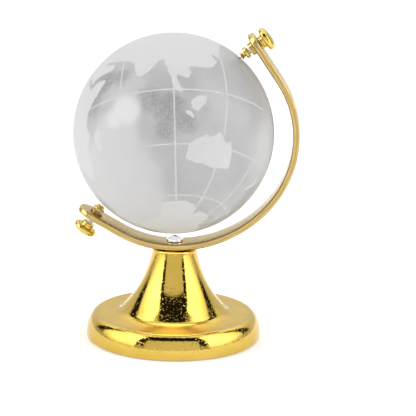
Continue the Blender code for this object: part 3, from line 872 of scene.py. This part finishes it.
def strip_line():
    """The inner face's middle line: (point, direction, end, share of the round end)."""
    half = STRIP_WIDTH / 2.0
    start, start_along = bend_point(STRIP_BEND_START)
    end, end_along = bend_point(STRIP_BEND_END)
    line = []
    lower_run = start_along * (STRIP_LOWER_STRAIGHT - half)
    upper_run = end_along * (STRIP_UPPER_STRAIGHT - half)
    end_turns = [math.pi / 2 * step / 14 for step in range(15)]
    for turn in end_turns:
        line.append((start - lower_run, start_along, -1, turn))
    for share in (0.75, 0.5, 0.25):
        line.append((start - lower_run * share, start_along, 0, 0.0))
    stations = 160
    for step in range(stations + 1):
        angle = STRIP_BEND_START + (STRIP_BEND_END - STRIP_BEND_START) * step / stations
        line.append((*bend_point(angle), 0, 0.0))
    for share in (0.25, 0.5, 0.75):
        line.append((end + upper_run * share, end_along, 0, 0.0))
    for turn in reversed(end_turns):
        line.append((end + upper_run, end_along, 1, turn))
    return line


def strip_layers(steps=5):
    """(Depth below the inner face, inset of the outline) round the strip's two edges."""
    radius = STRIP_EDGE_RADIUS
    upper = []
    for step in range(steps + 1):
        angle = math.pi / 2 * step / steps
        upper.append((radius * (1.0 - math.sin(angle)), radius * (1.0 - math.cos(angle))))
    upper.reverse()
    return upper + [(STRIP_THICKNESS - depth, inset) for depth, inset in reversed(upper)]


def strip_mesh():
    """Layers of the outline, from the inner face to the outer one, closed by the faces."""
    form = bmesh.new()
    loops = []
    for depth, inset in strip_layers():
        half_width = STRIP_WIDTH / 2.0 - inset
        left, right = [], []
        for point, along, end, turn in strip_line():
            reach = half_width * math.cos(turn) * end if end else 0.0
            half = half_width * math.sin(turn) if end else half_width
            place = point + along * reach + square_to(along) * depth
            left.append(form.verts.new(place - Vector((0.0, half, 0.0))))
            right.append(form.verts.new(place + Vector((0.0, half, 0.0))))
        loops.append((left, right))
    for (left_a, right_a), (left_b, right_b) in zip(loops, loops[1:]):
        for side_a, side_b in ((left_a, left_b), (right_b, right_a)):
            for k in range(len(side_a) - 1):
                form.faces.new((side_a[k], side_a[k + 1], side_b[k + 1], side_b[k]))
    for left, right in (loops[0], loops[-1]):
        for k in range(len(left) - 1):
            form.faces.new((left[k], right[k], right[k + 1], left[k + 1]))
    return finish_mesh("strip", form)


def hole_tool(name, radius, centre, direction):
    reach = 4.0 * MM
    outline = [(0.0, -reach), (radius, -reach), (radius, reach), (0.0, reach)]
    tool = new_object(name, turned_mesh(name, outline, 48))
    tool.matrix_world = facing(centre, direction)
    return tool


def lay_grain(mesh):
    """Attributes for the brushed grain: along the strip, across it, and into its thickness."""
    laid = {"along": [], "across": [], "depth": []}
    for vertex in mesh.vertices:
        out = vertex.co - STRIP_CENTRE
        angle = math.atan2(out.z, out.x)
        angle = min(max(angle, STRIP_BEND_START), STRIP_BEND_END)
        point, along = bend_point(angle)
        depth = (vertex.co - point).dot(square_to(along))
        laid["along"].append(angle * STRIP_MEAN_RADIUS + (vertex.co - point).dot(along))
        laid["across"].append(vertex.co.y + depth)
        laid["depth"].append(depth)
    for name, values in laid.items():
        made = mesh.attributes.new(name, "FLOAT", "POINT")
        made.data.foreach_set("value", values)


def make_strip():
    neck_axis = Vector((0.0, 0.0, SCREW_HEAD_SEAT))
    tools = [hole_tool("centre_hole", SCREW_RADIUS + HOLE_CLEARANCE, neck_axis, UP)]
    bush_hole = BUSH_BARREL_RADIUS + 2.0 * HOLE_CLEARANCE
    for side in THUMB_SCREWS:
        contact, direction = screw_line(side)
        centre = contact + direction * THUMB_SCREWS[side]["middle"]
        tools.append(hole_tool(side + "_hole", bush_hole, centre, direction))
    mesh = combine(strip_mesh(), tools, "DIFFERENCE")
    mesh.name = "meridian_strip"
    lay_grain(mesh)
    add_piece("meridian_strip", mesh, brushed_brass(), "arc", "meridian_arc")


# ---------------------------------------------------------------- thumb screws

def screw_line(side):
    """The contact point on the ball and the outward direction of a thumb screw."""
    joint = RECORD_JOINTS[side + "_screw_turn"]
    return Vector(joint["pos_m"]), Vector(joint["axis"]).normalized()


def pin_outline(side):
    layout = THUMB_SCREWS[side]
    back = layout["face"] + layout["neck"]
    nose = arc_points((0.0, PIN_RADIUS - PIN_REACH), (PIN_RADIUS, PIN_RADIUS), -90, 0, 8)
    nose[0] = (0.0, -PIN_REACH)
    return nose + [(PIN_RADIUS, back), (0.0, back)]


def cap_outline(side):
    """Flared, cupped nose, a waist, and a bead-edged collar with a socket for the stud."""
    layout = THUMB_SCREWS[side]
    face = layout["face"]
    collar = face + layout["neck"]
    back = collar + layout["collar"]
    bore = PIN_RADIUS + SEAT_GAP
    socket = STUD_RADIUS + SEAT_GAP
    bead = 0.3 * layout["collar"]
    waist = face + 0.55 * layout["neck"]
    return rounded([
        (bore, face + 0.12 * MM, 0.0),
        (CAP_FACE_RADIUS - 0.12 * MM, face, 0.05 * MM),
        (CAP_FACE_RADIUS, face + 0.08 * MM, 0.04 * MM),
        (CAP_NECK_RADIUS, waist, 0.15 * MM),
        (CAP_NECK_RADIUS + 0.04 * MM, collar, 0.08 * MM),
        (COLLAR_RADIUS, collar, bead),
        (COLLAR_RADIUS, back, bead),
        (socket, back, 0.0),
        (socket, collar + 2.0 * SEAT_GAP, 0.0),
        (bore, collar + 2.0 * SEAT_GAP, 0.0),
    ], closed=True)


def bush_outline(side):
    """Threaded bush: a barrel through the strip and a flange with a turned groove."""
    layout = THUMB_SCREWS[side]
    back = layout["middle"] - STRIP_THICKNESS / 2.0 - layout["bush"]
    front = back - layout["flange"]
    groove = back - 0.5 * layout["flange"]
    groove_half = 0.05 * MM
    barrel_end = layout["middle"] + STRIP_THICKNESS / 2.0
    bore = STUD_RADIUS + SEAT_GAP
    return rounded([
        (bore, front, 0.06 * MM),
        (BUSH_FLANGE_RADIUS - 0.06 * MM, front, 0.07 * MM),
        (BUSH_FLANGE_RADIUS - 0.06 * MM, groove - groove_half, 0.03 * MM),
        (BUSH_FLANGE_RADIUS - 0.14 * MM, groove, 0.02 * MM),
        (BUSH_FLANGE_RADIUS, groove + groove_half, 0.03 * MM),
        (BUSH_FLANGE_RADIUS, back, 0.06 * MM),
        (BUSH_BARREL_RADIUS, back, 0.0),
        (BUSH_BARREL_RADIUS, barrel_end, 0.08 * MM),
        (bore, barrel_end, 0.08 * MM),
    ], closed=True)


def knob_outline(side):
    """Domed disc with a round rim, a grooved boss towards the strip, and a blind bore."""
    layout = THUMB_SCREWS[side]
    start = layout["middle"] + layout["boss"]
    disc = start + BOSS_LENGTH
    bore = STUD_RADIUS + SEAT_GAP
    bore_end = disc + KNOB_RIM_RADIUS + 2.0 * SEAT_GAP
    rim = KNOB_RIM_RADIUS
    outline = rounded([
        (0.0, bore_end, 0.0),
        (bore, bore_end, 0.0),
        (bore, start, 0.06 * MM),
        (BOSS_RADIUS - 0.10 * MM, start, 0.08 * MM),
        (BOSS_RADIUS - 0.10 * MM, start + 0.35 * BOSS_LENGTH, 0.03 * MM),
        (BOSS_RADIUS, start + 0.5 * BOSS_LENGTH, 0.05 * MM),
        (BOSS_RADIUS, disc, 0.10 * MM),
        (KNOB_RADIUS - rim, disc, 0.0),
    ])
    outline += arc_points((KNOB_RADIUS - rim, disc + rim), (rim, rim), -90, 30, 14)[1:]
    shoulder = outline[-1]
    dome_height = KNOB_THICKNESS + disc - shoulder[1]
    outline += arc_points((0.0, shoulder[1]), (shoulder[0], dome_height), 15, 90, 14)
    outline[-1] = (0.0, disc + KNOB_THICKNESS)
    return outline


def make_thumb_screw(side, gold, brass, steel):
    contact, direction = screw_line(side)
    layout = THUMB_SCREWS[side]
    place = facing(contact, direction)
    pivot = side + "_pivot"
    screw = side + "_screw"
    turned = (
        ("pin", pin_outline(side), False, steel, pivot, "steel", "pivot_pin"),
        ("cap", cap_outline(side), True, gold, pivot, "gold_plate", "pivot_cap"),
        ("bush", bush_outline(side), True, brass, "arc", "satin_brass", "threaded_bush"),
        ("knob", knob_outline(side), False, gold, screw, "gold_plate", "thumb_knob"),
    )
    for piece, outline, closed, surface, body, slot, node in turned:
        name = side + "_" + piece
        mesh = turned_mesh(name, outline, 72, closed)
        add_piece(name, mesh, surface, body, side + "_" + node, place)
    start = layout["face"] + layout["neck"] + 3.0 * SEAT_GAP
    end = layout["middle"] + layout["boss"] + BOSS_LENGTH + KNOB_RIM_RADIUS
    mesh = threaded_mesh(side + "_stud", STUD_RADIUS, start, end)
    add_piece(side + "_stud", mesh, steel, screw, side + "_threaded_stud", place)


# ---------------------------------------------------------------- foot and its screw

def foot_outline():
    """Up the screw hole, over the neck's rim, down the flare, through the hollow at its foot,
    along the ledge, over the shoulder, round the edge, and up the pad pocket and the well."""
    hole = SCREW_RADIUS + HOLE_CLEARANCE
    pocket_top = PAD_THICKNESS + SEAT_GAP
    pocket = PAD_RADIUS + 2.0 * HOLE_CLEARANCE
    edge = FOOT_EDGE_RADIUS
    rim_centre = (NECK_RADIUS - NECK_RIM_RADIUS, NECK_TOP - NECK_RIM_RADIUS)
    outline = [(hole, WELL_TOP), (hole, NECK_TOP)]
    outline += arc_points(rim_centre, (NECK_RIM_RADIUS, NECK_RIM_RADIUS), 90, 0, 12)
    start = Vector(outline[-1])
    end = Vector((SHOULDER_RADIUS, SHOULDER_HEIGHT))
    outline += bezier_points(start, FLARE_NECK_PULL, FLARE_FOOT_PULL, FLARE_FOOT, 56)
    outline += bezier_points(FLARE_FOOT, HOLLOW_START_PULL, HOLLOW_END_PULL, HOLLOW_END, 20)
    outline += bezier_points(HOLLOW_END, LEDGE_START_PULL, LEDGE_END_PULL, end, 16)
    shoulder_centre = (SHOULDER_RADIUS, SHOULDER_START_HEIGHT)
    shoulder = (FOOT_RADIUS - SHOULDER_RADIUS, SHOULDER_HEIGHT - SHOULDER_START_HEIGHT)
    outline += arc_points(shoulder_centre, shoulder, 90, 0, 36)[1:]
    outline += arc_points((FOOT_RADIUS - edge, FOOT_LIFT + edge), (edge, edge), 0, -90, 6)
    outline += rounded([
        (pocket + 0.3 * MM, FOOT_LIFT, 0.0),
        (pocket, FOOT_LIFT, 0.08 * MM),
        (pocket, pocket_top, 0.08 * MM),
        (WELL_RADIUS, pocket_top, 0.15 * MM),
        (WELL_RADIUS, WELL_TOP, 0.0),
    ])
    return outline


def make_foot():
    mesh = turned_mesh("foot_casting", foot_outline(), 192, closed=True)
    add_piece("foot_casting", mesh, cast_gold(), "stand", "base_casting")


def make_pad():
    outline = rounded([
        (0.0, 0.0, 0.0),
        (PAD_RADIUS, 0.0, 0.25 * MM),
        (PAD_RADIUS, PAD_THICKNESS, 0.12 * MM),
        (0.0, PAD_THICKNESS, 0.0),
    ])
    mesh = turned_mesh("foot_pad", outline, 128)
    add_piece("foot_pad", mesh, grey_foam(), "stand", "base_pad")


def recess_tool(turn):
    """One arm of the screw head's cross recess, as a bmesh box."""
    form = bmesh.new()
    bmesh.ops.create_cube(form, size=1.0)
    size = Matrix.Diagonal((1.9 * MM, 0.32 * MM, 1.1 * MM, 1.0))
    top = Matrix.Translation((0.0, 0.0, SCREW_HEAD_SEAT + SCREW_HEAD_HEIGHT))
    bmesh.ops.transform(form, matrix=top @ Matrix.Rotation(turn, 4, "Z") @ size, verts=form.verts)
    return new_object("recess", finish_mesh("recess", form))


def make_centre_screw(steel):
    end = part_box("arc_screw")[0].z
    seat = SCREW_HEAD_SEAT
    head = rounded([
        (0.0, seat - 0.4 * MM, 0.0),
        (SCREW_RADIUS - THREAD_DEPTH, seat - 0.4 * MM, 0.0),
        (SCREW_RADIUS - THREAD_DEPTH, seat, 0.0),
        (SCREW_HEAD_RADIUS, seat, 0.06 * MM),
    ])[:-1]
    head += [(SCREW_HEAD_RADIUS, seat + 0.06 * MM)]
    dome = (SCREW_HEAD_RADIUS, SCREW_HEAD_HEIGHT - SCREW_HEAD_SKIRT)
    head += arc_points((0.0, seat + SCREW_HEAD_SKIRT), dome, 0, 90, 16)
    head[-1] = (0.0, seat + SCREW_HEAD_HEIGHT)
    mesh = turned_mesh("centre_screw_head", head, 64)
    mesh = combine(mesh, [recess_tool(0.5), recess_tool(0.5 + math.pi / 2.0)], "DIFFERENCE")
    mesh.name = "centre_screw_head"
    add_piece("centre_screw_head", mesh, steel, "stand", "arc_screw")
    shank = threaded_mesh("centre_screw_shank", SCREW_RADIUS, end, seat - 0.3 * MM)
    add_piece("centre_screw_shank", shank, steel, "stand", "arc_screw")


def make_washer(steel):
    low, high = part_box("arc_washer")
    bore = SCREW_RADIUS + HOLE_CLEARANCE
    fillet = 0.08 * MM
    outline = rounded([
        (bore, low.z, fillet),
        (WASHER_RADIUS, low.z, fillet),
        (WASHER_RADIUS, high.z, fillet),
        (bore, high.z, fillet),
    ], closed=True)
    mesh = turned_mesh("centre_washer", outline, 64, closed=True)
    add_piece("centre_washer", mesh, steel, "stand", "arc_washer")


def make_nut(steel):
    """Hexagon nut: a chamfered turned blank, cut to six flats."""
    low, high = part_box("arc_nut")
    bore = SCREW_RADIUS + SEAT_GAP
    corner = NUT_ACROSS_FLATS / 2.0 / math.cos(math.pi / 6.0)
    chamfer = 0.3 * MM
    blank = turned_mesh("centre_nut", [
        (bore + 0.1 * MM, low.z),
        (corner - chamfer, low.z),
        (corner, low.z + chamfer / 2.0),
        (corner, high.z - chamfer / 2.0),
        (corner - chamfer, high.z),
        (bore + 0.1 * MM, high.z),
        (bore, high.z - 0.1 * MM),
        (bore, low.z + 0.1 * MM),
    ], 96, closed=True)
    form = bmesh.new()
    bmesh.ops.create_cone(
        form, cap_ends=True, segments=6, radius1=corner, radius2=corner, depth=2.0 * (high.z - low.z))
    middle = Matrix.Translation((0.0, 0.0, (low.z + high.z) / 2.0))
    bmesh.ops.transform(form, matrix=middle, verts=form.verts)
    hexagon = new_object("hexagon", finish_mesh("hexagon", form))
    mesh = combine(blank, [hexagon], "INTERSECT")
    mesh.name = "centre_nut"
    add_piece("centre_nut", mesh, steel, "stand", "arc_nut")


# ---------------------------------------------------------------- studio

SIDE_BOX = 3.8
SIDE_BOX_REAR = 1.8
FRONT_PANEL = 1.1
BACKDROP = 1.0
TOP_LIGHT = 1.7
HORIZON = 0.75
DARK = 0.02
FOOT_GLOW = 1.7
SCREW_GLOW = 0.6
GLOW_RADIUS = 12.0 * MM
FLOOR_RADIUS = 3.0
FLOOR_GLOW = 0.26


def studio_world():
    """Soft boxes left and right, a grey panel in front, a white backdrop that runs on
    overhead, and dark gaps between them.  The camera itself sees plain white."""
    world = bpy.data.worlds.new("studio")
    bpy.context.scene.world = world
    world.use_nodes = True
    tree = world.node_tree
    tree.nodes.clear()
    look = tree.nodes.new("ShaderNodeTexCoord").outputs["Generated"]
    turn = tree.nodes.new("ShaderNodeVectorRotate")
    turn.rotation_type = "Z_AXIS"
    put(tree, turn.inputs["Vector"], look)
    turn.inputs["Angle"].default_value = -CAMERA_AZIMUTH
    x, y, z = split(tree, turn.outputs[0])
    aside = larger(tree, maths(tree, "ABSOLUTE", x), 0.0001)
    towards = larger(tree, times(tree, y, -1.0), 0.0001)
    away = larger(tree, y, 0.0001)
    side_u = maths(tree, "DIVIDE", y, aside)
    side_v = maths(tree, "DIVIDE", z, aside)
    side_wide = band(tree, side_u, -0.86, 0.32, 0.06)
    side_high = band(tree, side_v, 0.1, 1.9, 0.3)
    side = times(tree, side_wide, side_high)
    side = times(tree, side, remap(tree, side_u, -0.3, 0.35, SIDE_BOX, SIDE_BOX_REAR))
    front_u = remap(tree, maths(tree, "DIVIDE", aside, towards), 0.70, 0.80, 1.0, 0.0)
    front_v = remap(tree, maths(tree, "DIVIDE", z, towards), 0.85, 1.05, 1.0, 0.0)
    front = times(tree, times(tree, front_u, front_v), FRONT_PANEL)
    back_u = remap(tree, maths(tree, "DIVIDE", aside, away), 1.25, 1.6, 1.0, 0.0)
    lean = maths(tree, "DIVIDE", y, larger(tree, z, 0.0001))
    overhead = times(tree, remap(tree, side_v, 1.2, 1.7), remap(tree, lean, -0.32, -0.20))
    back_shape = larger(tree, back_u, overhead)
    back = times(tree, back_shape, remap(tree, z, 0.3, 0.75, BACKDROP, TOP_LIGHT))
    total = larger(tree, larger(tree, side, front), back)
    horizon = remap(tree, z, 0.10, 0.24, HORIZON, DARK)
    total = larger(tree, total, horizon)
    glow = tree.nodes.new("ShaderNodeBackground")
    put(tree, glow.inputs["Strength"], total)
    plain = tree.nodes.new("ShaderNodeBackground")
    plain.inputs["Color"].default_value = grey(1.0)
    path = tree.nodes.new("ShaderNodeLightPath")
    mixed = tree.nodes.new("ShaderNodeMixShader")
    put(tree, mixed.inputs[0], path.outputs["Is Camera Ray"])
    tree.links.new(glow.outputs[0], mixed.inputs[1])
    tree.links.new(plain.outputs[0], mixed.inputs[2])
    out = tree.nodes.new("ShaderNodeOutputWorld")
    tree.links.new(mixed.outputs[0], out.inputs["Surface"])


def make_glow(name, strength, pieces):
    """Light that the crystal gathers and throws down, which a path tracer finds too rarely:
    a soft disc just under the ball, for the named pieces only."""
    lit = bpy.data.collections.new(name)
    for piece in pieces:
        lit.objects.link(bpy.data.objects[piece])
    data = bpy.data.lights.new(name, "AREA")
    data.shape = "DISK"
    data.size = 2.0 * GLOW_RADIUS
    data.energy = strength * math.pi * math.pi * GLOW_RADIUS ** 2
    glow = new_object(name, data)
    glow.location = BALL_CENTRE - UP * (BALL_RADIUS + SEAT_GAP)
    glow.visible_camera = False
    glow.light_linking.receiver_collection = lit


def make_floor():
    form = bmesh.new()
    bmesh.ops.create_circle(form, cap_ends=True, segments=96, radius=FLOOR_RADIUS)
    mesh = bpy.data.meshes.new("floor")
    form.to_mesh(mesh)
    form.free()
    floor = new_object("floor", mesh)
    made, tree, shader = start_material("white_floor")
    shader.inputs["Base Color"].default_value = grey(0.85)
    shader.inputs["Roughness"].default_value = 0.9
    shader.inputs["Specular IOR Level"].default_value = 0.0
    shader.inputs["Emission Color"].default_value = grey(1.0)
    shader.inputs["Emission Strength"].default_value = FLOOR_GLOW
    mesh.materials.append(made)


def make_camera():
    back = Vector((
        math.sin(CAMERA_AZIMUTH) * math.cos(CAMERA_ELEVATION),
        -math.cos(CAMERA_AZIMUTH) * math.cos(CAMERA_ELEVATION),
        math.sin(CAMERA_ELEVATION),
    ))
    right = Vector((math.cos(CAMERA_AZIMUTH), math.sin(CAMERA_AZIMUTH), 0.0))
    upright = back.cross(right)
    rolled_right = right * math.cos(CAMERA_ROLL) + upright * math.sin(CAMERA_ROLL)
    rolled_up = upright * math.cos(CAMERA_ROLL) - right * math.sin(CAMERA_ROLL)
    data = bpy.data.cameras.new("camera")
    data.lens = CAMERA_LENS
    data.sensor_width = 36.0
    data.clip_start = 0.01
    camera = new_object("camera", data)
    turned = Matrix((rolled_right, rolled_up, back)).transposed().to_4x4()
    camera.matrix_world = Matrix.Translation(CAMERA_AIM + back * CAMERA_DISTANCE) @ turned
    bpy.context.scene.camera = camera


def main():
    bpy.context.scene.view_settings.view_transform = "Standard"
    make_camera()
    studio_world()
    make_floor()
    gold = turned_gold()
    brass = turned_brass()
    steel = bright_steel()
    make_foot()
    make_pad()
    make_centre_screw(steel)
    make_washer(steel)
    make_nut(steel)
    make_strip()
    for side in THUMB_SCREWS:
        make_thumb_screw(side, gold, brass, steel)
    make_ball()
    make_glow("foot_glow", FOOT_GLOW, ["foot_casting"])
    make_glow("screw_glow", SCREW_GLOW, ["centre_screw_head"])


main()
